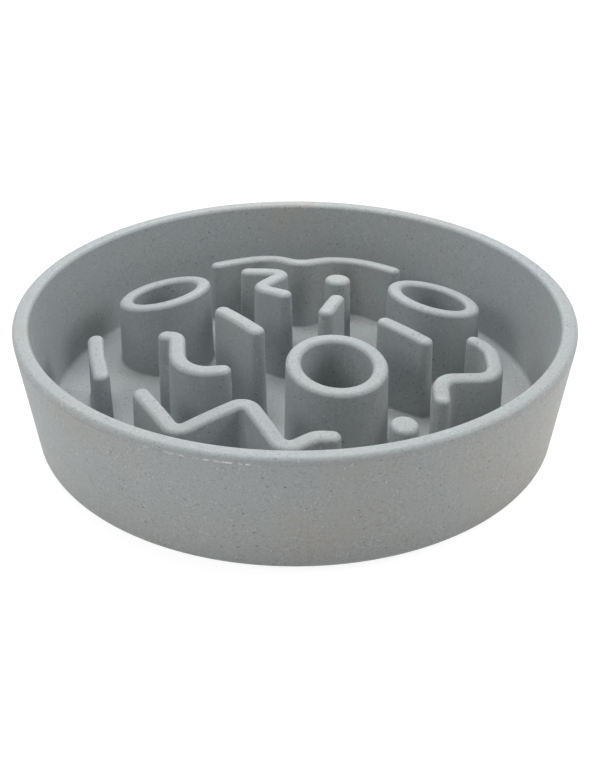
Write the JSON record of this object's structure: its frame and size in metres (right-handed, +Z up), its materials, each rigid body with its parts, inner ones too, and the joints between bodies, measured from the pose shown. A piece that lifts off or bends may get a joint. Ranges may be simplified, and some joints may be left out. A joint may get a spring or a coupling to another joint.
{
  "type": "slow feeder bowl",
  "caption": "Round leaning-walled pet food bowl whose floor carries upright tubes, wavy ridges, bars and pegs that slow a pet's eating, on small non-slip foot pads.",
  "frame": {"origin": "middle of the base, on the table plane under the four foot pads", "axes": "+Z up along the bowl's axis, +Y to the back of the bowl as pictured, +X to its right; at rest"},
  "size_m": [0.2602, 0.2602, 0.0608],
  "materials": {
    "moulding": "matt, finely grained, with small dark and pale flecks of plant fibre",
    "pads": "matt"
  },
  "bodies": {
    "root": {"bowl": "moulding", "tower_left": "moulding", "tower_front": "moulding", "tower_right": "moulding", "wave_ridge_back": "moulding", "zed_ridge_back": "moulding", "hook_ridge_left": "moulding", "hook_ridge_right": "moulding", "zigzag_ridge_front": "moulding", "bar_left": "moulding", "bar_centre_left": "moulding", "bar_centre": "moulding", "bar_right": "moulding", "peg_back": "moulding", "peg_front": "moulding", "foot_pad_front_left": "pads", "foot_pad_front_right": "pads", "foot_pad_back_right": "pads", "foot_pad_back_left": "pads"}
  },
  "joints": []
}
